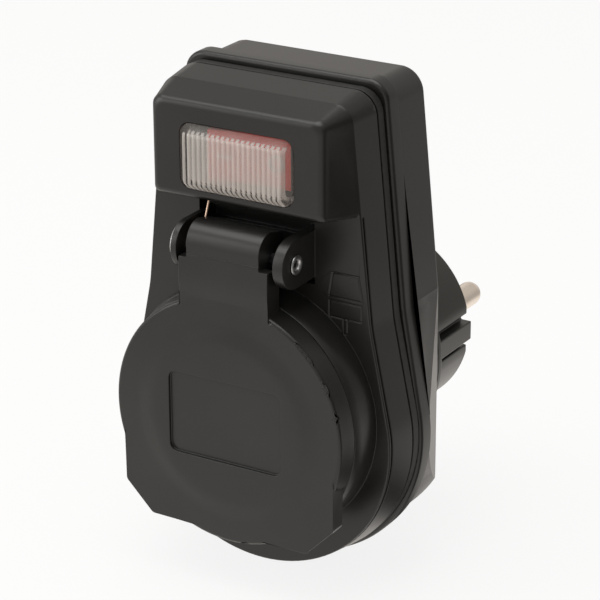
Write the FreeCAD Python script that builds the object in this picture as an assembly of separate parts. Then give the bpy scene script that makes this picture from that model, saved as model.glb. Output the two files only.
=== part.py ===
import FreeCAD, Part
import math
import os

from FreeCAD import Vector

# Switched splash-proof plug adapter. Millimetres, +Z up, the socket faces -Y, the plug points to +Y.
# The origin lies on the plug's axis, in the face of its base disc that seats on the wall socket.

# Plug and socket sizes that a mating plug or socket sets
pin_radius = 2.4
pin_length = 19.0
pin_spacing = 19.0
recess_radius = 19.5
recess_depth = 17.5
plug_radius = 18.4
plug_reach = 16.5
plug_flat_x = 17.8
guide_rib_x = 18.8
guide_rib_height = 3.8
guide_slot_x = 16.6
guide_slot_height = 1.3
guide_clearance = 0.4
base_disc_radius = 21.3
base_disc_thickness = 1.5

# Housing: a pear-shaped outline, a seam with a rubber bead, a flange and a round plinth for the plug
wall = 2.0
back_wall = 1.8
plinth_height = 5.7
socket_drop = 1.2
outline_rise = 1.55
outline_corner = 3.6
knee_half_width = 23.4
knee_height = 19.1
knee_blend = 24.0
side_slope = 0.098
bottom_radius = 27.6
bottom_centre = -4.25
edge_round = 0.35
round_steps = 4
front_depth = 6.85
front_draft = 0.9
seam_gap = 2.9
bead_gap = 0.5
bead_root_depth = 0.9
bead_set_back = 0.05
flange_grow = 1.6
flange_top_grow = 0.5
flange_corner = 2.6
flange_round = 0.8
flange_width = 3.55
flange_bottom_grow = 1.2
flange_bottom_drop = 0.8
back_grow = 1.0
back_round = 1.1
flank_half_width = 24.0
flank_slope = 0.4
lip_thickness = 1.0
lip_length = 4.8
lip_inset = 1.2
mouth_step = 0.5
edge_groove_depth = 0.35
edge_groove_width = 0.5
edge_groove_back = 0.55

# Raised block that holds the switch
block_height = 6.5
block_gap = 8.2
block_rise = 18.4
block_half_width = 17.85
block_corner = 2.0
block_foot_corner = 1.0
block_edge_round = 1.4
block_wall = 1.8
block_cavity_half_width = 14.8
block_cavity_margin = 1.9
block_floor = 1.7

# Switch
switch_rise = 8.1
cap_half_width = 11.6
cap_half_height = 6.05
cap_proud = 1.67
cap_bevel = 1.35
cap_wall = 0.8
cap_corner = 2.2
cap_flange_x = 1.4
cap_flange_z = 0.25
cap_flange_thickness = 1.0
frame_half_width = 10.4
frame_half_height = 6.2
frame_wall = 1.0
frame_back_wall = 1.5
frame_ear_half_width = 14.5
frame_ear_height = 6.2
frame_ear_thickness = 1.5
rocker_half_length = 8.3
rocker_half_height = 4.8
rocker_plate = 2.3
rocker_face = 3.2
rocker_pivot_depth = 10.0
rocker_rest_tilt = 7.0
rocker_dish = 0.6
mark_depth = 0.62
mark_set_back = 0.02
mark_line = 0.55
mark_bar_length = 2.8
mark_ring_radius = 1.55
mark_edge = 1.75
hub_half_width = 2.2
hub_length = 5.5
trunnion_radius = 1.5
plunger_radius = 1.2
plunger_length = 4.4
plunger_reach = 8.05
pole_spacing = 5.8
arm_thickness = 0.6
arm_short_end = 5.5
arm_long_end = 7.2
arm_half_height = 1.7
arm_rest_tilt = -5.0
arm_gap = 0.05
contact_x = 6.3
contact_radius = 0.9
contact_height = 0.6
contact_gap = 0.1
contact_plate = 0.45
terminal_thickness = 0.8
terminal_tail = 2.4
on_tab_x = 6.9
lamp_radius = 1.7
lamp_length = 7.4
lamp_x = 6.0
lamp_lead_radius = 0.25
resistor_radius = 1.2
resistor_length = 6.0

# Conductors
sleeve_radius = 2.45
sleeve_wall = 0.65
sleeve_slot = 1.2
sleeve_length = 17.2
strip_thickness = 0.8
strip_width = 2.6
feed_strip_width = 2.2
feed_strip_x = 15.2
tab_room = 1.5
layer_pitch = 1.9
strip_room = 0.4
side_plate_gap = 1.0
load_cross_height = 33.0
feed_cross_height = 27.0
pin_flange_radius = 3.4
pin_flange_thickness = 1.6
pin_root_radius = 2.7
pin_tail_radius = 1.8
pin_tail_start = 2.3
plug_face_wall = 2.0
plug_cavity_radius = 16.2
plug_cavity_x = 15.5
plug_cavity_z = 14.8
spigot_radius = 18.0
spigot_length = 4.0

# Earth contacts
earth_half_width = 2.6
earth_thickness = 1.0
earth_clip_rise = 1.9
earth_clip_front = 4.6
earth_clip_length = 8.0
earth_arm_inset = 1.8
earth_arm_end = 15.0
earth_rivet_radius = 1.2
earth_rivet_spacing = 8.0
earth_rivet_head = 0.6
earth_bar_gap = 0.15

# Ribs and posts of the rear shell that hold the switch and the socket insert
switch_rib_half_width = 8.0
switch_rib_thickness = 1.2
switch_side_rib_thickness = 1.5
switch_side_rib_height = 8.0
post_radius = 1.2
upper_post_x = 16.8
upper_post_z = 9.5
lower_post_x = 14.2
lower_post_z = -13.8

# Socket insert and collar
cup_wall = 1.8
cup_floor = 1.5
cup_flange_reach = 0.7
cup_flange_thickness = 1.2
pin_hole_radius = 2.9
sleeve_boss_length = 3.6
sleeve_seat = 0.35
sleeve_boss_wall = 1.2
land_half_height = 7.0
collar_height = 6.65
collar_wall = 3.5
collar_bevel_height = 1.6
collar_bevel = 0.55

# Hinged lid
lid_rim_gap = 0.15
lid_rim_height = 4.1
lid_rim_wall = 1.85
lid_crown = 0.8
lid_dome = 0.15
lid_border = 3.75
lid_step_width = 6.5
lid_rim_draft = 0.5
lid_edge_rise = 0.1
lid_skin = 1.7
lid_edge_round = 0.7
label_half_width = 11.85
label_half_height = 7.95
label_corner = 1.6
label_depth = 0.75
label_rise = 0.2
ear_inset_x = 2.05
ear_inset_z = 2.25
ear_chamfer = 5.7
ear_top = 5.5
ear_inner_x = 6.5
ear_thickness = 3.4
neck_left = 9.5
neck_right = 9.05
neck_thickness = 3.9
neck_overlap = 1.05
neck_root = 1.8
neck_crease = 0.2
neck_belly = 0.25
neck_shoulder = 0.9
hinge_reach = 6.5
hinge_rise = 7.0
barrel_radius = 4.4
barrel_nose_radius = 3.9
barrel_top = 5.3
barrel_heel_y = 3.9
barrel_heel_z = 4.2
barrel_left = 7.9
barrel_right = 7.2
lug_radius = 4.5
lug_inner_x = 10.0
lug_thickness = 2.1
left_lug_thickness = 1.2
hinge_pin_radius = 1.2
hinge_pin_bore = 0.9
hinge_pin_flare_radius = 1.85
hinge_pin_flare = 0.35
hinge_pin_head_radius = 3.6
hinge_pin_head = 1.0
hinge_recess_depth = 1.5
hinge_recess_half_width = 12.0
hinge_recess_drop = 5.8
hinge_ledge_rise = 2.6
hinge_ledge_depth = 1.0
gasket_inset = 0.5
gasket_room = 0.3

# Plug symbol engraved in the panel, right of the lid
symbol_x = 18.4
symbol_grip_top = 28.5
symbol_grip_foot = 23.9
symbol_grip_top_half = 2.6
symbol_grip_foot_half = 3.4
symbol_body_top = 23.1
symbol_body_foot = 20.1
symbol_body_half = 3.3
symbol_pin_foot = 17.2
symbol_pin_half = 0.45
symbol_line = 0.3
symbol_depth = 0.2

# Lid spring: a wound torsion spring with one upright leg
wire_radius = 0.25
spring_mean_radius = 1.75
spring_pitch = 0.95
spring_turns = 4
spring_leg_x = 8.7
spring_leg_slope = 0.42
spring_leg_hole = 1.2
spring_pocket_clearance = 0.3
spring_room = 0.5

# Housing screws
screw_radius = 1.45
screw_head_radius = 2.7
screw_head_height = 1.8
screw_slot = 0.7
screw_seat_depth = 3.0
screw_tip_depth = 3.2
screw_boss_radius = 2.7
screw_tower_radius = 3.1
upper_screw_x = 13.6
upper_screw_rise = 11.0
lower_screw_x = 15.5
lower_screw_height = -19.5

# Clearances
seat_clearance = 0.05
running_clearance = 0.05
loose_clearance = 0.3
screw_clearance = 0.2

# Sizes worked out from the ones above, from the inside outwards
arm_swing = contact_x * math.tan(math.radians(-arm_rest_tilt))
contact_depth = (rocker_pivot_depth + plunger_reach + running_clearance + arm_thickness + contact_height
                 + arm_swing + contact_gap)
frame_back_depth = contact_depth + contact_height + contact_plate + frame_back_wall
housing_depth = (frame_back_depth - block_height + tab_room + 2 * layer_pitch + strip_thickness
                 + strip_room + back_wall)
cup_radius = recess_radius + cup_wall
collar_radius = cup_radius + seat_clearance + collar_wall
land_x = plug_flat_x + guide_clearance
earth_arm_radius = plug_radius - earth_arm_inset
lid_radius = collar_radius - collar_bevel
lid_step_outer = lid_radius - lid_border
lid_step_inner = lid_step_outer - lid_step_width
ear_x = lid_radius - ear_inset_x
ear_z = lid_radius - ear_inset_z
gasket_inner_radius = recess_radius + gasket_inset
gasket_outer_radius = lid_radius - lid_rim_wall - gasket_room
hinge_height = lid_radius + hinge_rise
block_bottom = hinge_height + block_gap
block_top = block_bottom + block_rise
outline_top = block_top + outline_rise
spring_leg_rise = block_gap + spring_leg_hole - loose_clearance
spring_leg_lean = spring_leg_slope * spring_leg_rise

# Places worked out from the sizes above
plinth_y = -base_disc_thickness
back_y = plinth_y - plinth_height
inner_back_y = back_y - back_wall
panel_y = back_y - housing_depth
socket_z = -socket_drop
seam_front_y = panel_y + front_depth
seam_back_y = seam_front_y + seam_gap
block_face_y = panel_y - block_height
block_foot_z = socket_z + block_bottom
collar_face_y = panel_y - collar_height
recess_floor_y = collar_face_y + recess_depth
cup_back_y = recess_floor_y + cup_floor
hinge_y = panel_y - hinge_reach
hinge_z = socket_z + hinge_height
switch_z = block_foot_z + switch_rise
upper_screw_z = block_foot_z + upper_screw_rise
lower_screw_z = socket_z + lower_screw_height
block_inner_y = block_face_y + block_wall
frame_front_y = block_inner_y + cap_flange_thickness + 2 * seat_clearance
frame_back_y = block_face_y + frame_back_depth
rocker_face_y = block_face_y + rocker_face
pivot_y = block_face_y + rocker_pivot_depth
arm_top_y = pivot_y + plunger_reach + running_clearance
saddle_y = arm_top_y + arm_thickness + arm_gap
on_contact_y = block_face_y + contact_depth
terminal_end_y = frame_back_y + terminal_tail
front_layer_y = frame_back_y + tab_room
middle_layer_y = front_layer_y + layer_pitch
back_layer_y = middle_layer_y + layer_pitch
sleeve_front_y = cup_back_y + sleeve_seat
sleeve_back_y = sleeve_front_y + sleeve_length
earth_bar_y = cup_back_y + earth_bar_gap
lid_back_y = collar_face_y - lid_rim_gap
lid_edge_y = lid_back_y - lid_rim_height


def box(x0, x1, y0, y1, z0, z1):
    """Box between two corners."""
    return Part.makeBox(x1 - x0, y1 - y0, z1 - z0, Vector(x0, y0, z0))


def cylinder(radius, start, end):
    """Round bar from one centre point to another."""
    axis = end - start
    return Part.makeCylinder(radius, axis.Length, start, axis)


def bar_y(radius, x, z, y0, y1):
    """Round bar along Y."""
    return cylinder(radius, Vector(x, y0, z), Vector(x, y1, z))


def bar_x(radius, y, z, x0, x1):
    """Round bar along X."""
    return cylinder(radius, Vector(x0, y, z), Vector(x1, y, z))


def bar_z(radius, x, y, z0, z1):
    """Round bar along Z."""
    return cylinder(radius, Vector(x, y, z0), Vector(x, y, z1))


def joined(shapes):
    """One solid from pieces that overlap."""
    whole = shapes[0].fuse(shapes[1:])
    return whole.removeSplitter()


def mirrored(shape):
    """The same shape on the other side of the plane x = 0."""
    return shape.mirror(Vector(0, 0, 0), Vector(1, 0, 0))


def rounded_edges(corners):
    """Edges of a closed outline; each corner is (x, z, radius) and y is added later."""
    count = len(corners)
    starts = []
    arcs = []
    for i in range(count):
        before = Vector(corners[i - 1][0], 0, corners[i - 1][1])
        here = Vector(corners[i][0], 0, corners[i][1])
        after = Vector(corners[(i + 1) % count][0], 0, corners[(i + 1) % count][1])
        radius = corners[i][2]
        into = (here - before).normalize()
        out = (after - here).normalize()
        turn = math.acos(max(-1.0, min(1.0, into.dot(out))))
        if radius <= 0 or turn < 1e-6:
            starts.append((here, here))
            arcs.append(None)
            continue
        reach = radius * math.tan(turn / 2)
        first = here - into * reach
        last = here + out * reach
        centre = here + (out - into).normalize() * (radius / math.cos(turn / 2))
        middle = centre + (here - centre).normalize() * radius
        starts.append((first, last))
        arcs.append(Part.Arc(first, middle, last).toShape())
    edges = []
    for i in range(count):
        if arcs[i]:
            edges.append(arcs[i])
        leave = starts[i][1]
        reach = starts[(i + 1) % count][0]
        if (reach - leave).Length > 1e-6:
            edges.append(Part.makeLine(leave, reach))
    return edges


def outline(corners, y):
    """Closed rounded outline in the plane at y."""
    wire = Part.Wire(Part.__sortEdges__(rounded_edges(corners)))
    wire.translate(Vector(0, y, 0))
    return wire


def prism(corners, y0, y1):
    """Rounded outline pushed from y0 to y1."""
    face = Part.Face(outline(corners, y0))
    return face.extrude(Vector(0, y1 - y0, 0))


def rectangle(half_width, z0, z1, radius):
    """Corners of a rounded rectangle that is centred on x = 0."""
    return [(half_width, z0, radius), (half_width, z1, radius),
            (-half_width, z1, radius), (-half_width, z0, radius)]


def loft(wires):
    """Ruled solid through outlines that have the same edges in the same order."""
    return Part.makeLoft(wires, True, True)


def quarter_round(radius, steps):
    """Steps of a rounded edge as (depth from the face, inset from the side), face first."""
    pairs = []
    for i in range(steps):
        angle = math.pi / 2 * i / steps
        pairs.append((radius * (1 - math.cos(angle)), radius * (1 - math.sin(angle))))
    return pairs


def pear(y, half_width, knee, slope, top, corner, radius, centre):
    """Upright outline: straight steep sides, a blended knee, flanks that touch a round bottom."""
    top_z = socket_z + top
    knee_z = socket_z + knee
    centre_z = socket_z + centre
    rise = knee_z - centre_z
    reach = math.hypot(half_width, rise)
    angle = math.atan2(rise, half_width) - math.acos(radius / reach)
    touch_x = radius * math.cos(angle)
    touch_z = centre_z + radius * math.sin(angle)
    top_x = half_width - slope * (top - knee)
    side = [Vector(0, 0, top_z), Vector(top_x, 0, top_z), Vector(half_width, 0, knee_z),
            Vector(touch_x, 0, touch_z)]
    radii = [0, corner, knee_blend, 0]
    edges = []
    leave = side[0]
    for i in (1, 2):
        into = (side[i] - side[i - 1]).normalize()
        out = (side[i + 1] - side[i]).normalize()
        turn = math.acos(into.dot(out))
        back = radii[i] * math.tan(turn / 2)
        first = side[i] - into * back
        last = side[i] + out * back
        arc_centre = side[i] + (out - into).normalize() * (radii[i] / math.cos(turn / 2))
        middle = arc_centre + (side[i] - arc_centre).normalize() * radii[i]
        edges.append(Part.makeLine(leave, first))
        edges.append(Part.Arc(first, middle, last).toShape())
        leave = last
    edges.append(Part.makeLine(leave, side[3]))
    left = [mirrored(edge) for edge in reversed(edges)]
    bottom = Part.Arc(side[3], Vector(0, 0, centre_z - radius), Vector(-touch_x, 0, touch_z)).toShape()
    wire = Part.Wire(Part.__sortEdges__(edges + [bottom] + left))
    wire.translate(Vector(0, y, 0))
    return wire


def front_pear(y, grow):
    """Housing outline at the front panel, moved outwards by grow."""
    return pear(y, knee_half_width + grow, knee_height, side_slope, outline_top + grow,
                outline_corner + grow, bottom_radius + grow, bottom_centre)


def flange_pear(y, grow):
    """Outline of the rear shell's flange, which hangs a little lower than the front."""
    bottom_grow = flange_bottom_grow + grow - flange_grow
    return pear(y, knee_half_width + grow, knee_height, side_slope, outline_top + flange_top_grow + grow,
                flange_corner + grow, bottom_radius + bottom_grow, bottom_centre - flange_bottom_drop)


def ring(inner, outer, y0, y1, z):
    """Flat ring about the Y axis."""
    return bar_y(outer, 0, z, y0, y1).cut(bar_y(inner, 0, z, y0, y1))


def spun(points, z):
    """Solid of revolution about the Y axis at height z; points are (radius, y)."""
    corners = [Vector(r, y, z) for r, y in points]
    face = Part.Face(Part.makePolygon(corners + [corners[0]]))
    return face.revolve(Vector(0, 0, z), Vector(0, 1, 0), 360)


def screw_places():
    """The four screws as (x, z)."""
    return [(upper_screw_x, upper_screw_z), (-upper_screw_x, upper_screw_z),
            (lower_screw_x, lower_screw_z), (-lower_screw_x, lower_screw_z)]


def block_solid():
    """Raised block above the hinge, drafted from the panel's edge to its flat face."""
    foot = block_foot_z
    wide = knee_half_width - side_slope * (block_bottom - knee_height)
    narrow = knee_half_width - side_slope * (outline_top - knee_height)
    top = socket_z + outline_top
    base = [(wide, foot, block_foot_corner), (narrow, top, outline_corner),
            (-narrow, top, outline_corner), (-wide, foot, block_foot_corner)]
    face_top = socket_z + block_top
    face = [(block_half_width, foot, block_foot_corner), (block_half_width, face_top, block_corner),
            (-block_half_width, face_top, block_corner), (-block_half_width, foot, block_foot_corner)]
    wires = []
    for depth, inset in quarter_round(block_edge_round, round_steps):
        smaller = [(x - math.copysign(inset, x), z - inset if z > foot else z + inset, r) for x, z, r in face]
        wires.append(outline(smaller, block_face_y + depth))
    wires.append(outline(face, block_face_y + block_edge_round))
    wires.append(outline(base, panel_y + edge_round))
    return loft(wires)


def cap_window(y0, y1, grow):
    """Rounded rectangle of the clear cap's foot."""
    corners = rectangle(cap_half_width + grow, switch_z - cap_half_height - grow,
                        switch_z + cap_half_height + grow, cap_corner + grow)
    return prism(corners, y0, y1)


def engraved_line(x0, z0, x1, z1):
    """Straight groove in the panel; the places are heights above the socket's axis."""
    start = Vector(x0, panel_y, socket_z + z0)
    along = Vector(x1 - x0, 0, z1 - z0)
    half = symbol_line / 2
    groove = Part.makeBox(along.Length + symbol_line, 2 * symbol_depth, symbol_line,
                          Vector(-half, -symbol_depth, -half))
    groove.rotate(Vector(0, 0, 0), Vector(0, 1, 0), -math.degrees(math.atan2(along.z, along.x)))
    groove.translate(start)
    return groove


def plug_symbol():
    """Grooves of the symbol: a tapered grip, a body below it and a pin."""
    top = symbol_grip_top
    foot = symbol_grip_foot
    grip = [(-symbol_grip_top_half, top), (symbol_grip_top_half, top),
            (symbol_grip_foot_half, foot), (-symbol_grip_foot_half, foot)]
    body = [(-symbol_body_half, symbol_body_top), (symbol_body_half, symbol_body_top),
            (symbol_body_half, symbol_body_foot), (-symbol_body_half, symbol_body_foot)]
    stem = [(-symbol_pin_half, symbol_body_foot), (symbol_pin_half, symbol_body_foot),
            (symbol_pin_half, symbol_pin_foot), (-symbol_pin_half, symbol_pin_foot)]
    grooves = []
    for corners in (grip, body, stem):
        for i, (x, z) in enumerate(corners):
            before = corners[i - 1]
            grooves.append(engraved_line(symbol_x + before[0], before[1], symbol_x + x, z))
    return grooves


def hinge_lug(x0, x1):
    """Lug with a half-round nose that runs straight back into the panel."""
    nose = bar_x(lug_radius, hinge_y, hinge_z, x0, x1)
    web = box(x0, x1, hinge_y, panel_y + hinge_recess_depth + wall, hinge_z - lug_radius, hinge_z + lug_radius)
    return nose.fuse(web)


def front_shell():
    """Front half of the housing with the switch block, the socket collar and the hinge lugs."""
    rim = [front_pear(panel_y + depth, -inset) for depth, inset in quarter_round(edge_round, round_steps)]
    outer = loft(rim + [front_pear(panel_y + edge_round, 0), front_pear(seam_front_y, front_draft)])
    inner_grow = -lip_inset - lip_thickness
    lip = loft([front_pear(seam_front_y - wall, -lip_inset), front_pear(seam_front_y + lip_length, -lip_inset)])
    collar = spun([(0, panel_y + wall), (collar_radius, panel_y + wall),
                   (collar_radius, collar_face_y + collar_bevel_height),
                   (collar_radius - collar_bevel, collar_face_y), (0, collar_face_y)], socket_z)
    body = joined([outer, lip, block_solid(), collar])
    cavity = loft([front_pear(panel_y + wall, inner_grow),
                   front_pear(seam_front_y + lip_length + 1, inner_grow)])
    block_cavity = box(-block_cavity_half_width, block_cavity_half_width, block_inner_y, panel_y + wall + 1,
                       block_foot_z + block_floor, socket_z + block_top - block_cavity_margin)
    recess_z = hinge_z - hinge_recess_drop
    recess_back_y = panel_y + hinge_recess_depth
    ledge_back_y = recess_back_y + hinge_ledge_depth
    recess = box(-hinge_recess_half_width, hinge_recess_half_width, panel_y - 1, recess_back_y,
                 recess_z, block_foot_z)
    ledge = box(-hinge_recess_half_width, hinge_recess_half_width, panel_y - 1, ledge_back_y,
                hinge_z + hinge_ledge_rise, block_foot_z)
    backing = box(-hinge_recess_half_width - wall, hinge_recess_half_width + wall, panel_y + edge_round,
                  ledge_back_y + wall, recess_z - wall, block_foot_z + block_floor)
    body = body.cut([cavity, block_cavity])
    bosses = []
    for x, z in screw_places():
        start = panel_y - 1 if z > 0 else panel_y + edge_round
        bosses.append(bar_y(screw_boss_radius, x, z, start, seam_back_y - seat_clearance))
    lugs = [hinge_lug(lug_inner_x, lug_inner_x + lug_thickness),
            hinge_lug(-lug_inner_x - left_lug_thickness, -lug_inner_x)]
    body = joined([body, backing] + bosses)
    body = body.cut([recess, ledge])
    body = joined([body] + lugs)
    cuts = [bar_y(cup_radius + seat_clearance, 0, socket_z, collar_face_y - 1, panel_y + 2 * wall)]
    cuts.append(cap_window(block_face_y - 1, block_inner_y + 1, 3 * seat_clearance))
    cuts.append(bar_x(hinge_pin_radius + running_clearance, hinge_y, hinge_z, -knee_half_width, knee_half_width))
    for x, z in screw_places():
        cuts.append(bar_y(screw_radius + seat_clearance, x, z, panel_y + 1, seam_back_y + 1))
    leg_y = (hinge_y + spring_mean_radius + spring_leg_lean
             - spring_leg_slope * (spring_leg_hole - loose_clearance) / 2)
    cuts.append(bar_z(wire_radius + loose_clearance, -spring_leg_x, leg_y, block_foot_z - 1,
                      block_foot_z + spring_leg_hole))
    return body.cut(cuts + [edge_groove()] + plug_symbol())


def edge_groove():
    """Fine groove around the panel's edge, up to the foot of the switch block."""
    start = panel_y + edge_groove_back
    end = start + edge_groove_width
    band = loft([front_pear(start, wall), front_pear(end, wall)])
    core = loft([front_pear(start - 1, -edge_groove_depth), front_pear(end + 1, -edge_groove_depth)])
    reach = knee_half_width + 2 * wall
    above = box(-reach, reach, start - 1, end + 1, block_foot_z, block_foot_z + block_rise + 3 * wall)
    return band.cut([core, above])


def holding_ribs():
    """Ribs behind the switch frame and posts behind the socket insert."""
    switch_y = frame_back_y + seat_clearance
    insert_y = cup_back_y + seat_clearance
    wall_y = back_y - back_wall / 2
    top = switch_z + frame_half_height
    low = switch_z - frame_half_height
    ribs = [box(-switch_rib_half_width, switch_rib_half_width, switch_y, wall_y, top - switch_rib_thickness, top),
            box(-frame_half_width, switch_side_rib_thickness - frame_half_width, switch_y, wall_y,
                low, low + switch_side_rib_height)]
    for side in (-1, 1):
        ribs.append(bar_y(post_radius, side * upper_post_x, upper_post_z, insert_y, wall_y))
        ribs.append(bar_y(post_radius, side * lower_post_x, lower_post_z, insert_y, wall_y))
    return ribs


def flank_wedges(inset):
    """Wedges outside the leaning planes that narrow the housing's sides towards the back."""
    far = bottom_radius + back_grow + 1
    near = flank_half_width - inset * math.hypot(1, flank_slope)
    reach = (far - near) / flank_slope
    low = socket_z + bottom_centre - bottom_radius - wall
    corners = [Vector(near - flank_slope, back_y + 1, low), Vector(far, back_y - reach, low),
               Vector(far, back_y + 1, low)]
    face = Part.Face(Part.makePolygon(corners + [corners[0]]))
    wedge = face.extrude(Vector(0, 0, outline_top - bottom_centre + bottom_radius + 2 * wall))
    return [wedge, mirrored(wedge)]


def rear_shell():
    """Rear half: flange at the seam, upright body with leaning flanks, round plinth for the plug."""
    start_y = seam_back_y + flange_round
    rim = []
    for depth, inset in quarter_round(flange_round, round_steps):
        rim.append(flange_pear(seam_back_y + depth, flange_grow - inset))
    flange = loft(rim + [flange_pear(start_y, flange_grow), flange_pear(seam_back_y + flange_width, flange_grow)])
    wires = [front_pear(start_y, back_grow), front_pear(back_y - back_round, back_grow)]
    for depth, inset in reversed(quarter_round(back_round, round_steps)):
        wires.append(front_pear(back_y - depth, back_grow - inset))
    upright = loft(wires).cut(flank_wedges(0))
    plinth = bar_y(base_disc_radius, 0, 0, inner_back_y, plinth_y)
    outer = joined([flange, upright, plinth])
    lip_grow = -lip_inset + 2 * seat_clearance
    lip_end_y = seam_front_y + lip_length + loose_clearance
    mouth = loft([front_pear(seam_back_y - 1, lip_grow), front_pear(lip_end_y, lip_grow)])
    inner_grow = lip_grow - mouth_step
    cavity = loft([front_pear(lip_end_y - mouth_step, inner_grow), front_pear(inner_back_y, inner_grow)])
    body = outer.cut([mouth, cavity.cut(flank_wedges(wall))])
    towers = []
    for x, z in screw_places():
        towers.append(bar_y(screw_tower_radius, x, z, seam_back_y, back_y - 1))
    body = joined([body] + towers + holding_ribs())
    cuts = [bar_y(spigot_radius + seat_clearance, 0, 0, inner_back_y - 1, plinth_y + 1)]
    for x, z in screw_places():
        cuts.append(bar_y(screw_radius + screw_clearance, x, z, seam_back_y - 1, back_y + 1))
        cuts.append(bar_y(screw_head_radius + screw_clearance, x, z, back_y - screw_seat_depth, back_y + 1))
    return body.cut(cuts)


def shell_gasket():
    """Rubber ring in the seam, around the front shell's lip, with a bead that fills the gap's middle."""
    y0 = seam_front_y + seat_clearance
    y1 = seam_back_y - seat_clearance
    root_grow = front_draft - bead_root_depth
    bead_grow = front_draft - bead_set_back
    inner_grow = -lip_inset + seat_clearance
    root = loft([front_pear(y0, root_grow), front_pear(y1, root_grow)])
    bead = loft([front_pear(seam_front_y + bead_gap, bead_grow), front_pear(seam_back_y - bead_gap, bead_grow)])
    inner = loft([front_pear(y0 - 1, inner_grow), front_pear(y1 + 1, inner_grow)])
    return joined([root, bead]).cut(inner)


def housing_screws():
    """Four pan-head screws that go in from the back."""
    screws = []
    seat_y = back_y - screw_seat_depth
    for x, z in screw_places():
        head = bar_y(screw_head_radius, x, z, seat_y, seat_y + screw_head_height)
        shank = bar_y(screw_radius, x, z, panel_y + screw_tip_depth, seat_y)
        slot_y = seat_y + screw_head_height - 1
        reach = screw_head_radius * 0.7
        across = box(x - reach, x + reach, slot_y, slot_y + 2, z - screw_slot / 2, z + screw_slot / 2)
        upright = box(x - screw_slot / 2, x + screw_slot / 2, slot_y, slot_y + 2, z - reach, z + reach)
        screws.append(head.fuse(shank).cut([across, upright]))
    return Part.makeCompound(screws)


def socket_insert():
    """Cup that takes the mating plug, with two guide lands, earth slots and pin holes."""
    cup = bar_y(cup_radius, 0, socket_z, collar_face_y, cup_back_y)
    flange_y = panel_y + wall + seat_clearance
    flange = bar_y(cup_radius + cup_flange_reach, 0, socket_z, flange_y, flange_y + cup_flange_thickness)
    hollow = bar_y(recess_radius, 0, socket_z, collar_face_y - 1, recess_floor_y)
    body = joined([cup, flange]).cut(hollow)
    land = box(land_x, cup_radius - 0.5, collar_face_y, recess_floor_y + 0.5,
               socket_z - land_half_height, socket_z + land_half_height)
    bosses = []
    for x in (-pin_spacing / 2, pin_spacing / 2):
        bosses.append(bar_y(sleeve_radius + sleeve_wall + sleeve_boss_wall, x, socket_z,
                            recess_floor_y + 0.5, cup_back_y + sleeve_boss_length))
    land = land.common(bar_y(cup_radius, 0, socket_z, collar_face_y, cup_back_y))
    body = joined([body, land, mirrored(land)] + bosses)
    groove_half = guide_rib_height / 2 + guide_clearance
    groove = box(-recess_radius, recess_radius, collar_face_y - 1, recess_floor_y,
                 socket_z - groove_half, socket_z + groove_half)
    cuts = [groove]
    slot_half = earth_half_width + loose_clearance
    inner = recess_radius - earth_clip_rise - 1
    for side in (-1, 1):
        low = min(side * inner, side * (cup_radius + 1))
        high = max(side * inner, side * (cup_radius + 1))
        cuts.append(box(-slot_half, slot_half, collar_face_y + earth_clip_front - 1, cup_back_y + 1,
                        socket_z + low, socket_z + high))
        x = side * pin_spacing / 2
        cuts.append(bar_y(pin_hole_radius, x, socket_z, recess_floor_y - 1, cup_back_y + 1))
        cuts.append(bar_y(sleeve_radius + sleeve_wall + seat_clearance, x, socket_z, cup_back_y + 0.3,
                          cup_back_y + sleeve_boss_length + 1))
    return body.cut(cuts)


def contact_sleeve(side):
    """Slit brass sleeve that grips one pin of the mating plug."""
    x = side * pin_spacing / 2
    tube = bar_y(sleeve_radius + sleeve_wall, x, socket_z, sleeve_front_y, sleeve_back_y)
    bore = bar_y(sleeve_radius, x, socket_z, sleeve_front_y - 1, sleeve_back_y + 1)
    slit = box(x - sleeve_slot / 2, x + sleeve_slot / 2, sleeve_front_y - 1, sleeve_back_y + 1,
               socket_z - sleeve_radius - 2, socket_z)
    return tube.cut([bore, slit])


def socket_earth_bracket():
    """U-shaped strap whose two sprung arms stand in the recess, above and below."""
    back = earth_bar_y
    outer = recess_radius + earth_thickness + 0.1
    front = collar_face_y + earth_clip_front
    profile = []
    face = outer - earth_thickness
    bump = recess_radius - earth_clip_rise
    points = [(outer, back), (outer, front), (face, front), (bump, front + earth_clip_length / 3),
              (bump, front + earth_clip_length * 2 / 3), (face, front + earth_clip_length), (face, back)]
    for radius, y in points:
        profile.append(Vector(-earth_half_width, y, socket_z + radius))
    arm = Part.Face(Part.makePolygon(profile + [profile[0]])).extrude(Vector(2 * earth_half_width, 0, 0))
    lower = arm.mirror(Vector(0, 0, socket_z), Vector(0, 0, 1))
    bar = box(-earth_half_width, earth_half_width, back, back + earth_thickness, socket_z - outer, socket_z + outer)
    body = joined([arm, lower, bar])
    return body.cut(rivet_holes())


def plug_earth_bracket():
    """U-shaped strap whose arms lie in the grooves above and below the plug body."""
    front = earth_bar_y + earth_thickness
    outer = earth_arm_radius + earth_thickness
    arm = box(-earth_half_width, earth_half_width, front, earth_arm_end, earth_arm_radius, outer)
    lower = arm.mirror(Vector(0, 0, 0), Vector(0, 0, 1))
    bar = box(-earth_half_width, earth_half_width, front, front + earth_thickness, -outer, outer)
    return joined([arm, lower, bar]).cut(rivet_holes())


def rivet_places():
    """Heights of the two rivets that join the earth brackets."""
    return [socket_z - earth_rivet_spacing / 2, socket_z + earth_rivet_spacing / 2]


def rivet_holes():
    """Holes for the earth rivets."""
    y0 = earth_bar_y - 2
    y1 = earth_bar_y + 2 * earth_thickness + 2
    return [bar_y(earth_rivet_radius, 0, z, y0, y1) for z in rivet_places()]


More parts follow.
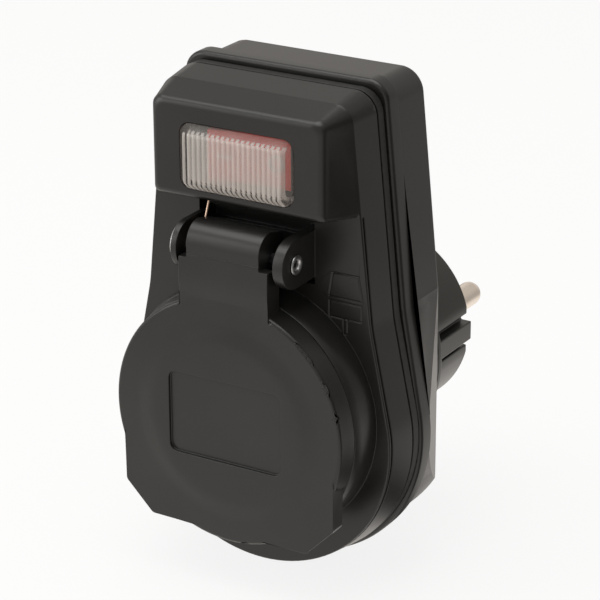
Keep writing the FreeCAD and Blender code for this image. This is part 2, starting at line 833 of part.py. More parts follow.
def earth_rivets():
    """Two hollow-free rivets through both earth brackets; the heads clear the cup's floor."""
    rivets = []
    back = earth_bar_y + 2 * earth_thickness
    for z in rivet_places():
        shank = bar_y(earth_rivet_radius, 0, z, earth_bar_y, back)
        head = bar_y(2 * earth_rivet_radius, 0, z, back, back + earth_rivet_head)
        rivets.append(shank.fuse(head))
    return Part.makeCompound(rivets)


def plug_body():
    """Hollow plug: base disc, round body with two flats and guide ribs, spigot into the housing."""
    disc = bar_y(base_disc_radius, 0, 0, plinth_y, 0)
    spigot_y = plinth_y - spigot_length
    spigot = bar_y(spigot_radius, 0, 0, spigot_y, plinth_y)
    body = bar_y(plug_radius, 0, 0, 0, plug_reach)
    body = body.common(box(-plug_flat_x, plug_flat_x, 0, plug_reach, -plug_radius, plug_radius))
    half = guide_rib_height / 2
    rib = box(-guide_rib_x, guide_rib_x, 0, plug_reach, -half, half)
    whole = joined([disc, spigot, body, rib])
    hollow = bar_y(plug_cavity_radius, 0, 0, spigot_y - 1, plug_reach - plug_face_wall)
    hollow = hollow.common(box(-plug_cavity_x, plug_cavity_x, spigot_y - 1,
                               plug_reach - plug_face_wall, -plug_cavity_z, plug_cavity_z))
    cuts = [hollow]
    slot_half = earth_half_width + loose_clearance
    low = earth_arm_radius - 0.1
    for side in (-1, 1):
        inside = sorted((side * low, side * (earth_arm_radius + earth_thickness + 0.1)))
        outside = sorted((side * low, side * (plug_radius + 1)))
        across = sorted((side * guide_slot_x, side * (plug_radius + 1)))
        for z in (-half - guide_slot_height, half):
            cuts.append(box(across[0], across[1], 0, plug_reach + 1, z, z + guide_slot_height))
        cuts.append(box(-slot_half, slot_half, spigot_y - 1, 0.5, inside[0], inside[1]))
        cuts.append(box(-slot_half, slot_half, 0, earth_arm_end + 0.1, outside[0], outside[1]))
        cuts.append(bar_y(pin_root_radius, side * pin_spacing / 2, 0, plug_reach - plug_face_wall - 1, plug_reach + 1))
    return whole.cut(cuts)


def plug_pin(side):
    """Solid plated pin with a domed tip, a flange behind the plug's face and a tail for its strip."""
    x = side * pin_spacing / 2
    tip_y = plug_reach + pin_length
    root_y = plug_reach - plug_face_wall
    root = bar_y(pin_root_radius, x, 0, root_y, plug_reach)
    shaft = bar_y(pin_radius, x, 0, plug_reach, tip_y - pin_radius)
    dome = Part.makeSphere(pin_radius, Vector(x, tip_y - pin_radius, 0))
    flange = bar_y(pin_flange_radius, x, 0, root_y - pin_flange_thickness, root_y)
    tail = bar_y(pin_tail_radius, x, 0, pin_tail_start, root_y - pin_flange_thickness)
    return joined([shaft, dome, root, flange, tail])


def pole_height(pole):
    """Height of the live pole (1) or the neutral pole (-1) of the switch."""
    return switch_z + pole * pole_spacing / 2


def side_plate(x, pole, end_y):
    """Part of a strip that lies against a terminal's tab and runs back to the strip's layer."""
    z = pole_height(pole)
    return box(x, x + strip_thickness, frame_back_y + side_plate_gap, end_y, z - arm_half_height, z + arm_half_height)


def load_strip(pole, y0):
    """Strip from a switched terminal down to the contact sleeve of its pole; its layer starts at y0."""
    y1 = y0 + strip_thickness
    x0 = on_tab_x + terminal_thickness
    x1 = x0 + strip_width
    top = pole_height(pole) + arm_half_height
    foot = socket_z + sleeve_radius + sleeve_wall
    pieces = [side_plate(x0, pole, y1)]
    if pole > 0:
        pieces.append(box(x0, x1, y0, y1, foot, top))
    else:
        cross = socket_z + load_cross_height
        left = -pin_spacing / 2 - strip_width / 2
        pieces.append(box(x0, x1, y0, y1, cross, top))
        pieces.append(box(left, x1, y0, y1, cross, cross + strip_width))
        pieces.append(box(left, left + strip_width, y0, y1, foot, cross + strip_width))
    return joined(pieces)


def feed_strip(pole, y0):
    """Strip from a common terminal past the sleeves to the tail of its plug pin."""
    y1 = y0 + strip_thickness
    x0 = terminal_thickness / 2
    top = pole_height(pole) + arm_half_height
    cross = socket_z + feed_cross_height
    outer = pole * feed_strip_x
    inner = pole * (feed_strip_x - feed_strip_width)
    low_x = min(outer, inner)
    high_x = max(outer, inner)
    half = feed_strip_width / 2
    tail_y = pin_tail_start
    pieces = [side_plate(x0, pole, y1), box(x0, x0 + feed_strip_width, y0, y1, cross, top)]
    pieces.append(box(min(x0, low_x), max(x0 + feed_strip_width, high_x), y0, y1, cross, cross + feed_strip_width))
    pieces.append(box(low_x, high_x, y0, y1, -half, cross + feed_strip_width))
    pieces.append(box(low_x, high_x, y0, tail_y, -half, half))
    end = sorted((outer, pole * (pin_spacing / 2 - half)))
    pieces.append(box(end[0], end[1], tail_y - strip_thickness, tail_y, -half, half))
    return joined(pieces)


def switch_frame():
    """Open-fronted case of the switch; its rim and ears press the clear cap's flange forwards."""
    z0 = switch_z - frame_half_height
    z1 = switch_z + frame_half_height
    case = box(-frame_half_width, frame_half_width, frame_front_y, frame_back_y, z0, z1)
    ears = box(-frame_ear_half_width, frame_ear_half_width, frame_front_y,
               frame_front_y + frame_ear_thickness, z0, z0 + frame_ear_height)
    hollow = box(-frame_half_width + frame_wall, frame_half_width - frame_wall, frame_front_y - 1,
                 frame_back_y - frame_back_wall, z0 + frame_wall, z1 - frame_wall)
    cuts = [hollow, bar_z(trunnion_radius + running_clearance, 0, pivot_y, z0 - 1, z1 + 1)]
    half = arm_half_height + seat_clearance
    for pole in (-1, 1):
        z = pole_height(pole)
        thick = terminal_thickness / 2 + seat_clearance
        cuts.append(box(-thick, thick, frame_back_y - frame_back_wall - 1, frame_back_y + 1, z - half, z + half))
        cuts.append(box(on_tab_x - seat_clearance, on_tab_x + terminal_thickness + seat_clearance,
                        frame_back_y - frame_back_wall - 1, frame_back_y + 1, z - half, z + half))
    return joined([case, ears]).cut(cuts)


def common_terminals():
    """Two upright tabs; the front edge of each is the saddle that its contact arm rocks on."""
    tabs = []
    for pole in (-1, 1):
        z = pole_height(pole)
        half = terminal_thickness / 2
        tabs.append(box(-half, half, saddle_y, terminal_end_y, z - arm_half_height, z + arm_half_height))
    return Part.makeCompound(tabs)


def on_terminals():
    """Two tabs that each carry a fixed contact, just behind the arm's contact when it has swung to it."""
    pieces = []
    plate_y = on_contact_y + contact_height
    for pole in (-1, 1):
        z = pole_height(pole)
        tab = box(on_tab_x, on_tab_x + terminal_thickness, plate_y, terminal_end_y,
                  z - arm_half_height, z + arm_half_height)
        plate = box(contact_x - contact_radius, on_tab_x + terminal_thickness, plate_y,
                    frame_back_y - frame_back_wall, z - arm_half_height, z + arm_half_height)
        button = bar_y(contact_radius, contact_x, z, on_contact_y, plate_y)
        pieces.append(joined([tab, plate, button]))
    return Part.makeCompound(pieces)


def contact_arm(pole):
    """Rocking contact arm at rest, with its switched end lifted off the fixed contact."""
    z = pole_height(pole)
    plate = box(-arm_short_end, arm_long_end, arm_top_y, arm_top_y + arm_thickness,
                z - arm_half_height, z + arm_half_height)
    button = bar_y(contact_radius, contact_x, z, arm_top_y + arm_thickness,
                   arm_top_y + arm_thickness + contact_height)
    arm = plate.fuse(button)
    arm.rotate(Vector(0, saddle_y, z), Vector(0, 0, 1), arm_rest_tilt)
    return arm


def tilted(shape):
    """The rocker's pieces are drawn level and turned about the pivot to the off position."""
    turned = shape.copy()
    turned.rotate(Vector(0, pivot_y, switch_z), Vector(0, 0, 1), rocker_rest_tilt)
    return turned


def plunger_place(pole):
    """Front end of the bore that holds a plunger and its spring."""
    return pivot_y + plunger_reach - plunger_length - 0.3


def dish_bar():
    """Wide upright round bar that hollows the rocker's face."""
    radius = (rocker_half_length ** 2 + rocker_dish ** 2) / (2 * rocker_dish)
    z = rocker_half_height + 1
    return bar_z(radius, 0, rocker_face_y + rocker_dish - radius, switch_z - z, switch_z + z)


def rocker():
    """Translucent rocker: dished face, hub, two trunnions and two plunger bores."""
    z0 = switch_z - rocker_half_height
    z1 = switch_z + rocker_half_height
    plate = box(-rocker_half_length, rocker_half_length, rocker_face_y, rocker_face_y + rocker_plate, z0, z1)
    hub = box(-hub_half_width, hub_half_width, rocker_face_y + rocker_plate - 0.5, pivot_y + hub_length, z0, z1)
    reach = frame_half_height - seat_clearance
    pivot = bar_z(trunnion_radius, 0, pivot_y, switch_z - reach, switch_z + reach)
    body = joined([plate, hub, pivot]).cut(dish_bar())
    bores = []
    for pole in (-1, 1):
        bores.append(bar_y(plunger_radius + running_clearance, 0, pole_height(pole),
                           spring_seat_y(), pivot_y + hub_length + 1))
    return tilted(body.cut(bores))


def spring_seat_y():
    """Bottom of the plunger bores, in front of the pivot."""
    return pivot_y - 1.2


def rocker_marks():
    """White inlaid marks: a bar for on at the left, a ring for off at the right."""
    face = rocker_face_y + rocker_dish
    front = face - mark_depth
    bar_centre = mark_ring_radius - rocker_half_length + mark_edge
    half = mark_bar_length / 2
    bar = box(bar_centre - half, bar_centre + half, front, face - mark_set_back,
              switch_z - mark_line / 2, switch_z + mark_line / 2)
    ring_x = rocker_half_length - mark_edge - mark_ring_radius
    outer = bar_y(mark_ring_radius, ring_x, switch_z, front, face - mark_set_back)
    inner = bar_y(mark_ring_radius - mark_line, ring_x, switch_z, front - 1, face + 1)
    marks = [bar, outer.cut(inner)]
    return Part.makeCompound([tilted(mark.common(dish_bar())) for mark in marks])


def plungers():
    """Two domed plungers that press on the contact arms."""
    pieces = []
    end_y = pivot_y + plunger_reach
    for pole in (-1, 1):
        z = pole_height(pole)
        rod = bar_y(plunger_radius, 0, z, end_y - plunger_length, end_y - plunger_radius)
        dome = Part.makeSphere(plunger_radius, Vector(0, end_y - plunger_radius, z))
        pieces.append(tilted(rod.fuse(dome)))
    return Part.makeCompound(pieces)


def three_point_arc(start, tangent, end):
    """Arc that leaves start along tangent and ends at end."""
    chord = end - start
    across = chord - tangent * chord.dot(tangent)
    if across.Length < 1e-9:
        return Part.makeLine(start, end)
    radius = chord.Length ** 2 / (2 * across.Length)
    centre = start + across.normalize() * radius
    middle = centre + ((start + end) * 0.5 - centre).normalize() * radius
    return Part.Arc(start, middle, end).toShape()


def biarc(start, start_tangent, end, end_tangent):
    """Two arcs that join two points smoothly along the given directions."""
    chord = end - start
    both = start_tangent + end_tangent
    a = 2 * (start_tangent.dot(end_tangent) - 1)
    b = -2 * chord.dot(both)
    c = chord.dot(chord)
    reach = (-b - math.sqrt(b * b - 4 * a * c)) / (2 * a) if abs(a) > 1e-9 else -c / b
    joint = (start + start_tangent * reach + end - end_tangent * reach) * 0.5
    back = three_point_arc(end, end_tangent * -1, joint)
    return [three_point_arc(start, start_tangent, joint), back]


def helix_edges(centre, axis, across, mean_radius, pitch, turns, first_angle):
    """Quarter-turn biarcs along a helix; angles are measured from across, by the right hand about axis."""
    third = axis.cross(across)
    slope = pitch / (2 * math.pi)

    def point(angle):
        return (centre + across * (mean_radius * math.cos(angle)) + third * (mean_radius * math.sin(angle))
                + axis * (slope * (angle - first_angle)))

    def tangent(angle):
        return (third * (mean_radius * math.cos(angle)) - across * (mean_radius * math.sin(angle))
                + axis * slope).normalize()

    edges = []
    steps = int(round(turns * 4))
    for i in range(steps):
        a = first_angle + i * math.pi / 2
        b = a + math.pi / 2
        edges += biarc(point(a), tangent(a), point(b), tangent(b))
    return edges, point(first_angle), tangent(first_angle)


def wire_tube(edges, start, tangent, radius):
    """Round wire along a smooth path."""
    path = Part.Wire(Part.__sortEdges__(edges))
    section = Part.Wire(Part.makeCircle(radius, start, tangent))
    return path.makePipeShell([section], True, False)


def plunger_springs():
    """Two small coil springs behind the plungers."""
    pieces = []
    radius = 0.2
    mean = plunger_radius - radius - 0.05
    start_y = spring_seat_y() + radius + 0.05
    room = pivot_y + plunger_reach - plunger_length - radius - 0.05 - start_y
    turns = 3
    for pole in (-1, 1):
        centre = Vector(0, start_y, pole_height(pole))
        edges, start, tangent = helix_edges(centre, Vector(0, 1, 0), Vector(1, 0, 0), mean, room / turns, turns, 0)
        pieces.append(tilted(wire_tube(edges, start, tangent, radius)))
    return Part.makeCompound(pieces)


def neon_lamp():
    """Small glass lamp behind the rocker's on half, with its two lead wires."""
    y = pivot_y + 1
    half = lamp_length / 2
    glass = bar_z(lamp_radius, -lamp_x, y, switch_z - half + lamp_radius, switch_z + half - lamp_radius)
    ends = [Part.makeSphere(lamp_radius, Vector(-lamp_x, y, switch_z + side * (half - lamp_radius)))
            for side in (-1, 1)]
    leads = []
    for side in (-1, 1):
        z = switch_z + side * (half - lamp_radius - 0.3)
        leads.append(bar_y(lamp_lead_radius, -lamp_x, z, y, frame_back_y - frame_back_wall))
    return joined([glass] + ends + leads)


def lamp_resistor():
    """Series resistor of the lamp, beside the rocker's hub."""
    y = pivot_y + 0.5
    half = resistor_length / 2
    body = bar_z(resistor_radius, lamp_x, y, switch_z - half, switch_z + half)
    inner = frame_half_height - frame_wall
    leads = bar_z(lamp_lead_radius, lamp_x, y, switch_z - inner, switch_z + inner)
    return joined([body, leads])


def switch_cap():
    """Clear flexible cap with bevelled walls and a flange trapped behind the block's wall."""
    foot = rectangle(cap_half_width, switch_z - cap_half_height, switch_z + cap_half_height, cap_corner)
    low = switch_z - cap_half_height + cap_bevel
    high = switch_z + cap_half_height - cap_bevel
    front = rectangle(cap_half_width - cap_bevel, low, high, cap_corner - 0.6)
    face_y = block_face_y - cap_proud
    skirt = prism(foot, block_face_y, block_inner_y + seat_clearance)
    dome = loft([outline(front, face_y), outline(foot, block_face_y)])
    flange_y = block_inner_y + seat_clearance
    half_x = cap_half_width + cap_flange_x
    half_z = cap_half_height + cap_flange_z
    flange = prism(rectangle(half_x, switch_z - half_z, switch_z + half_z, 1.0),
                   flange_y, flange_y + cap_flange_thickness)
    inner_foot = rectangle(cap_half_width - cap_wall, switch_z - cap_half_height + cap_wall,
                           switch_z + cap_half_height - cap_wall, cap_corner - cap_wall)
    inner_front = rectangle(cap_half_width - cap_bevel - cap_wall / 2, low + cap_wall / 2, high - cap_wall / 2, 1.0)
    hollow = prism(inner_foot, block_face_y + cap_wall, flange_y + cap_flange_thickness + 1)
    pocket = loft([outline(inner_front, face_y + cap_wall), outline(inner_foot, block_face_y + cap_wall)])
    return joined([skirt, dome, flange]).cut([hollow, pocket])


def spun_edges(edges, z):
    """Solid of revolution about the Y axis at height z, from edges in the plane x, y."""
    wire = Part.Wire(Part.__sortEdges__(edges))
    wire.translate(Vector(0, 0, z))
    return Part.Face(wire).revolve(Vector(0, 0, z), Vector(0, 1, 0), 360)


def lid_disc():
    """Round plate with a rim; its front has a flat edge, a soft step and a slightly domed middle."""
    crown_y = lid_edge_y - lid_crown
    step_y = crown_y + lid_dome
    low_y = lid_edge_y - lid_edge_rise
    inner_radius = lid_radius - lid_rim_wall
    back_y = lid_edge_y + lid_skin
    middle_back_y = step_y + lid_skin
    dome = Part.Arc(Vector(0, crown_y, 0), Vector(lid_step_inner / 2, crown_y + lid_dome / 4, 0),
                    Vector(lid_step_inner, step_y, 0)).toShape()
    out = Vector(1, 0, 0)
    step = biarc(Vector(lid_step_inner, step_y, 0), out, Vector(lid_step_outer, low_y, 0), out)
    edge_radius = lid_radius - lid_rim_draft
    shoulder = Vector(edge_radius - lid_edge_round, lid_edge_y, 0)
    side = Vector(edge_radius, lid_edge_y + lid_edge_round, 0)
    bend = lid_edge_round * (1 - math.sqrt(0.5))
    corner = Part.Arc(shoulder, Vector(edge_radius - bend, lid_edge_y + bend, 0), side).toShape()
    points = [side, Vector(lid_radius, lid_back_y, 0), Vector(inner_radius, lid_back_y, 0),
              Vector(inner_radius, back_y, 0), Vector(lid_step_outer - 1, back_y, 0),
              Vector(lid_step_inner - 1, middle_back_y, 0), Vector(0, middle_back_y, 0), Vector(0, crown_y, 0)]
    edges = [dome] + step + [Part.makeLine(Vector(lid_step_outer, low_y, 0), shoulder), corner]
    for first, second in zip(points, points[1:]):
        edges.append(Part.makeLine(first, second))
    return spun_edges(edges, socket_z)


def lid_neck():
    """Neck from the disc up to the hinge barrel, with a square shoulder on each side of the barrel."""
    crease = Vector(0, hinge_y - barrel_radius, hinge_z - neck_crease)
    foot_z = socket_z + math.sqrt(lid_radius ** 2 - neck_left ** 2) - 3
    start = Vector(0, lid_edge_y, socket_z + lid_radius - neck_overlap)
    middle = (crease + start) * 0.5 + Vector(0, -neck_belly, 0)
    back = lid_edge_y + neck_thickness
    corners = [start, Vector(0, lid_edge_y, foot_z), Vector(0, back, foot_z),
               Vector(0, back, hinge_z - barrel_radius - wire_radius),
               Vector(0, hinge_y, hinge_z - barrel_radius), Vector(0, hinge_y, hinge_z), crease]
    edges = [Part.Arc(crease, middle, start).toShape()]
    for first, second in zip(corners, corners[1:]):
        edges.append(Part.makeLine(first, second))
    face = Part.Face(Part.Wire(Part.__sortEdges__(edges)))
    face.translate(Vector(-neck_left, 0, 0))
    neck = face.extrude(Vector(neck_left + neck_right, 0, 0))
    cuts = [bar_y(lid_radius - neck_root, 0, socket_z, lid_edge_y - 1, back + 1)]
    for x0, x1 in ((-neck_left - 1, -barrel_left), (barrel_right, neck_right + 1)):
        cuts.append(box(x0, x1, lid_edge_y - 1, hinge_y + 1, hinge_z - neck_shoulder, hinge_z + 1))
        cuts.append(bar_x(spring_mean_radius + wire_radius + spring_room, hinge_y, hinge_z, x0, x1))
    return neck.cut(cuts)


def hinge_barrel():
    """Barrel of the lid: flush with the neck in front, round over its nose, with a sharp heel behind."""

    def place(dy, dz):
        return Vector(-barrel_left, hinge_y + dy, hinge_z + dz)

    nose_y = barrel_nose_radius - barrel_radius
    nose_z = barrel_top - barrel_nose_radius
    bend = barrel_nose_radius * math.sqrt(0.5)
    front_low = place(-barrel_radius, 0)
    front_high = place(-barrel_radius, nose_z)
    top = place(nose_y, barrel_top)
    heel = place(barrel_heel_y, barrel_heel_z)
    back = place(barrel_heel_y, -math.sqrt(barrel_radius ** 2 - barrel_heel_y ** 2))
    edges = [Part.makeLine(front_low, front_high),
             Part.Arc(front_high, place(nose_y - bend, nose_z + bend), top).toShape(),
             Part.makeLine(top, heel),
             Part.makeLine(heel, back),
             Part.Arc(back, place(0, -barrel_radius), front_low).toShape()]
    face = Part.Face(Part.Wire(Part.__sortEdges__(edges)))
    return face.extrude(Vector(barrel_left + barrel_right, 0, 0))


def lid():
    """Lid: crowned disc with a recessed label field, two finger ears, neck and hinge barrel."""
    disc = lid_disc()
    ear = [(ear_x, socket_z - ear_top, 0), (ear_x, socket_z - ear_z + ear_chamfer, 1.2),
           (ear_x - ear_chamfer, socket_z - ear_z, 1.2), (ear_inner_x, socket_z - ear_z, 0),
           (ear_inner_x, socket_z - ear_top, 0)]
    ear = prism(ear, lid_edge_y, lid_edge_y + ear_thickness)
    ears = joined([ear, mirrored(ear)])
    ears = ears.cut(bar_y(lid_radius - neck_root, 0, socket_z, lid_edge_y - 1, lid_edge_y + ear_thickness + 1))
    body = joined([disc, ears, lid_neck(), hinge_barrel()])
    label = prism(rectangle(label_half_width, socket_z + label_rise - label_half_height,
                            socket_z + label_rise + label_half_height, label_corner),
                  lid_edge_y - lid_crown - 1, lid_edge_y - lid_crown + label_depth)
    bore = bar_x(hinge_pin_radius + running_clearance, hinge_y, hinge_z, -neck_left, neck_left)
    pocket_end = -spring_leg_x + spring_pitch * spring_turns + wire_radius + spring_pocket_clearance
    pocket = bar_x(spring_mean_radius + wire_radius + screw_clearance, hinge_y, hinge_z, -barrel_left - 1, pocket_end)
    return body.cut([label, bore, pocket])


def lid_gasket():
    """Soft ring under the lid that presses on the socket's rim."""
    return ring(gasket_inner_radius, gasket_outer_radius, lid_edge_y + lid_skin + seat_clearance,
                collar_face_y - seat_clearance, socket_z)


def hinge_pin():
    """Tubular pin with a formed head at the left end and a flared rim at the right one."""
    left = -lug_inner_x - left_lug_thickness - seat_clearance
    right = lug_inner_x + lug_thickness + seat_clearance
    tube = bar_x(hinge_pin_radius, hinge_y, hinge_z, left, right)
    heads = [bar_x(hinge_pin_flare_radius, hinge_y, hinge_z, right, right + hinge_pin_flare),
             bar_x(hinge_pin_head_radius, hinge_y, hinge_z, left - hinge_pin_head, left)]
    bore = bar_x(hinge_pin_bore, hinge_y, hinge_z, left - 2, right + 2)
    return joined([tube] + heads).cut(bore)


def lid_spring():
    """Torsion spring around the hinge pin; its upright leg ends in a hole under the switch block."""
    centre = Vector(-spring_leg_x, hinge_y, hinge_z)
    edges, start, tangent = helix_edges(centre, Vector(1, 0, 0), Vector(0, 1, 0), spring_mean_radius,
                                        spring_pitch, spring_turns, 0)
    top = Vector(start.x, start.y + spring_leg_lean, start.z + spring_leg_rise)
    leg_edges = [Part.makeLine(start, top)]
    leg_direction = (top - start).normalize()
    coil = wire_tube(edges, start, tangent, wire_radius)
    leg = cylinder(wire_radius, start - leg_direction * wire_radius / 2, top)
    return coil, leg


def least_spring_gap():
    """Least distance between neighbouring turns, measured on points along the wire."""
    least = 1e9
    samples = 72
    points = []
    for i in range(samples * spring_turns + 1):
        angle = 2 * math.pi * i / samples
        points.append(Vector(spring_pitch * i / samples, spring_mean_radius * math.cos(angle),
                             spring_mean_radius * math.sin(angle)))
    for i, first in enumerate(points):
        for second in points[i + samples // 2:]:
            least = min(least, (second - first).Length)
    return least - 2 * wire_radius


def write(name, shape):
    """Writes one piece, and says so."""
    solids = len(shape.Solids)
    print(f"{name:26s} solids {solids}  volume {shape.Volume:10.1f}  valid {shape.isValid()}")
    shape.exportStep(f"parts/{name}.step")


os.makedirs("parts", exist_ok=True)
write("front_shell", front_shell())
write("rear_shell", rear_shell())
write("shell_gasket", shell_gasket())
write("housing_screws", housing_screws())
write("socket_insert", socket_insert())
write("live_contact_sleeve", contact_sleeve(1))
write("neutral_contact_sleeve", contact_sleeve(-1))
write("socket_earth_bracket", socket_earth_bracket())
write("plug_earth_bracket", plug_earth_bracket())
write("earth_rivets", earth_rivets())
write("plug_body", plug_body())
write("live_pin", plug_pin(1))
write("neutral_pin", plug_pin(-1))
write("live_feed_strip", feed_strip(1, back_layer_y))
write("neutral_feed_strip", feed_strip(-1, middle_layer_y))
write("live_load_strip", load_strip(1, middle_layer_y))
write("neutral_load_strip", load_strip(-1, front_layer_y))
write("switch_frame", switch_frame())
write("common_terminals", common_terminals())
write("on_terminals", on_terminals())
write("live_contact_arm", contact_arm(1))
write("neutral_contact_arm", contact_arm(-1))
write("rocker", rocker())
write("rocker_marks", rocker_marks())
write("plungers", plungers())
write("plunger_springs", plunger_springs())
write("neon_lamp", neon_lamp())
write("lamp_resistor", lamp_resistor())
write("switch_cap", switch_cap())
write("lid", lid())
write("lid_gasket", lid_gasket())
write("hinge_pin", hinge_pin())
spring_coil, spring_leg = lid_spring()
write("lid_spring", spring_coil.fuse(spring_leg))
print(f"least gap between the lid spring's turns {least_spring_gap():.2f} mm")
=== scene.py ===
import math

import bpy
import numpy as np
from mathutils import Matrix, Vector


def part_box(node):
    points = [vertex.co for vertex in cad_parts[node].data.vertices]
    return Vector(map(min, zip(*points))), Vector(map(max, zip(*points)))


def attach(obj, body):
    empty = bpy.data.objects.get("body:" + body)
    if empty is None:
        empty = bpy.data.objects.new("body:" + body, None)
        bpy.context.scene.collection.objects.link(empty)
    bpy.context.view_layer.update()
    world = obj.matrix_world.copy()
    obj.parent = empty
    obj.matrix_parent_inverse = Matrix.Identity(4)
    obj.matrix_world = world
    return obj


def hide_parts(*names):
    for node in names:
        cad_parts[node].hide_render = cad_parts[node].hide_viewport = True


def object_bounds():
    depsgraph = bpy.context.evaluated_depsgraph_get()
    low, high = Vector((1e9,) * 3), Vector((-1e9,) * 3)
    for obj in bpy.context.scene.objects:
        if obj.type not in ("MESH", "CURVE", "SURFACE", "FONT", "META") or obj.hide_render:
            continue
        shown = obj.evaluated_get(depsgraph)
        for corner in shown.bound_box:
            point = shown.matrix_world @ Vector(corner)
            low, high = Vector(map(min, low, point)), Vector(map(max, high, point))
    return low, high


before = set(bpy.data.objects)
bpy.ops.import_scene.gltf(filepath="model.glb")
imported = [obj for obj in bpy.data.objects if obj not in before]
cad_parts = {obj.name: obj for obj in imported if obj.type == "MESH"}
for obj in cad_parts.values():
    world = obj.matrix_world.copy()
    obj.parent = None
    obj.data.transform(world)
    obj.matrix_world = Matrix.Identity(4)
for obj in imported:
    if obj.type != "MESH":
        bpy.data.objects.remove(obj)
cad_box = [list(corner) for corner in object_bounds()]
MM = 0.001


# Camera. It looks from the front right and a little above, through a long lens.
# Its place and lens were fitted to the photograph together with the part's main sizes.
def look_from(azimuth, elevation, roll, place, lens):
    """Camera whose back axis has that azimuth and elevation, turned by roll about it; all angles in degrees."""
    a, e, r = (math.radians(v) for v in (azimuth, elevation, roll))
    back = Vector((math.sin(a) * math.cos(e), -math.cos(a) * math.cos(e), math.sin(e)))
    right = Vector((math.cos(a), math.sin(a), 0))
    up = back.cross(right)
    turned = math.cos(r) * right + math.sin(r) * up
    upright = math.cos(r) * up - math.sin(r) * right
    camera = bpy.data.objects.new("camera", bpy.data.cameras.new("camera"))
    camera.data.lens = lens
    camera.data.sensor_width = 36
    camera.data.clip_end = 10
    rows = Matrix((turned, upright, back)).transposed().to_4x4()
    camera.matrix_world = Matrix.Translation(Vector(place)) @ rows
    bpy.context.scene.collection.objects.link(camera)
    bpy.context.scene.camera = camera


look_from(31.17, 21.68, -0.24, (0.23186, -0.39988, 0.19183), 156)
bpy.context.scene.view_settings.view_transform = "Standard"


# Lamps: a wide soft lamp above and a smaller one at the left, as in a plain product photo.
# The right side has no lamp, so that faces turned that way stay dark.
def soft_lamp(name, place, target, width, height, power):
    """Rectangular lamp at place that shines at target."""
    lamp = bpy.data.objects.new(name, bpy.data.lights.new(name, "AREA"))
    lamp.data.shape = "RECTANGLE"
    lamp.data.size = width
    lamp.data.size_y = height
    lamp.data.energy = power
    back = (Vector(place) - Vector(target)).normalized()
    lamp.matrix_world = Matrix.Translation(Vector(place)) @ back.to_track_quat("Z", "Y").to_matrix().to_4x4()
    bpy.context.scene.collection.objects.link(lamp)


soft_lamp("lamp_above", (-0.1, -0.15, 0.8), (0, 0, 0), 0.8, 0.8, 5.0)
soft_lamp("lamp_left", (-0.65, -0.55, 0.3), (0, 0, 0), 0.5, 0.6, 2.4)


# Shader helpers for the tent, the floor and every piece. A Wire is a number that changes over a surface,
# and a Finish is a material with one Principled shader.
class Wire:
    """A node's output; + - * and the methods below add Math nodes."""

    def __init__(self, finish, socket):
        self.finish = finish
        self.socket = socket

    def math(self, operation, *values):
        return self.finish.node("Math", {"operation": operation}, values)

    def __add__(self, other):
        return self.math("ADD", self, other)

    def __sub__(self, other):
        return self.math("SUBTRACT", self, other)

    def __rsub__(self, other):
        return self.math("SUBTRACT", other, self)

    def __mul__(self, other):
        return self.math("MULTIPLY", self, other)

    __radd__ = __add__
    __rmul__ = __mul__

    def between(self, low, high, first=0.0, last=1.0):
        """first below low, last above high, and a smooth step in between."""
        return self.finish.node("MapRange", {"interpolation_type": "SMOOTHSTEP"},
                                {"Value": self, "From Min": low, "From Max": high, "To Min": first, "To Max": last})


class Nodes:
    """A node tree that is filled by short calls."""

    def __init__(self, tree):
        self.tree = tree

    def set(self, node, socket, value):
        entry = node.inputs[socket]
        if isinstance(value, Wire):
            self.tree.links.new(value.socket, entry)
        elif entry.type == "RGBA" and len(value) == 3:
            entry.default_value = (*value, 1)
        else:
            entry.default_value = value

    def node(self, kind, settings, values, output=0):
        """Adds a node of that type: its settings first, then the values or links of its sockets."""
        made = self.tree.nodes.new("ShaderNode" + kind)
        for key, value in settings.items():
            setattr(made, key, value)
        pairs = values.items() if isinstance(values, dict) else enumerate(values)
        for socket, value in pairs:
            self.set(made, socket, value)
        return Wire(self, made.outputs[output])

    def rays(self, *names):
        """1 for rays of any of those kinds, 0 for others."""
        parts = [self.node("LightPath", {}, {}, name) for name in names]
        whole = parts[0]
        for part in parts[1:]:
            whole = whole.math("MAXIMUM", whole, part)
        return whole

    def heading(self, direction, source="Object"):
        """Cosine between that level direction and the way from the origin to the point."""
        flat = self.node("VectorMath", {"operation": "MULTIPLY"},
                         {0: self.node("TexCoord", {}, {}, source), 1: (1, 1, 0)})
        ahead = self.node("VectorMath", {"operation": "NORMALIZE"}, {0: flat})
        return self.node("VectorMath", {"operation": "DOT_PRODUCT"}, {0: ahead, 1: direction}, "Value")


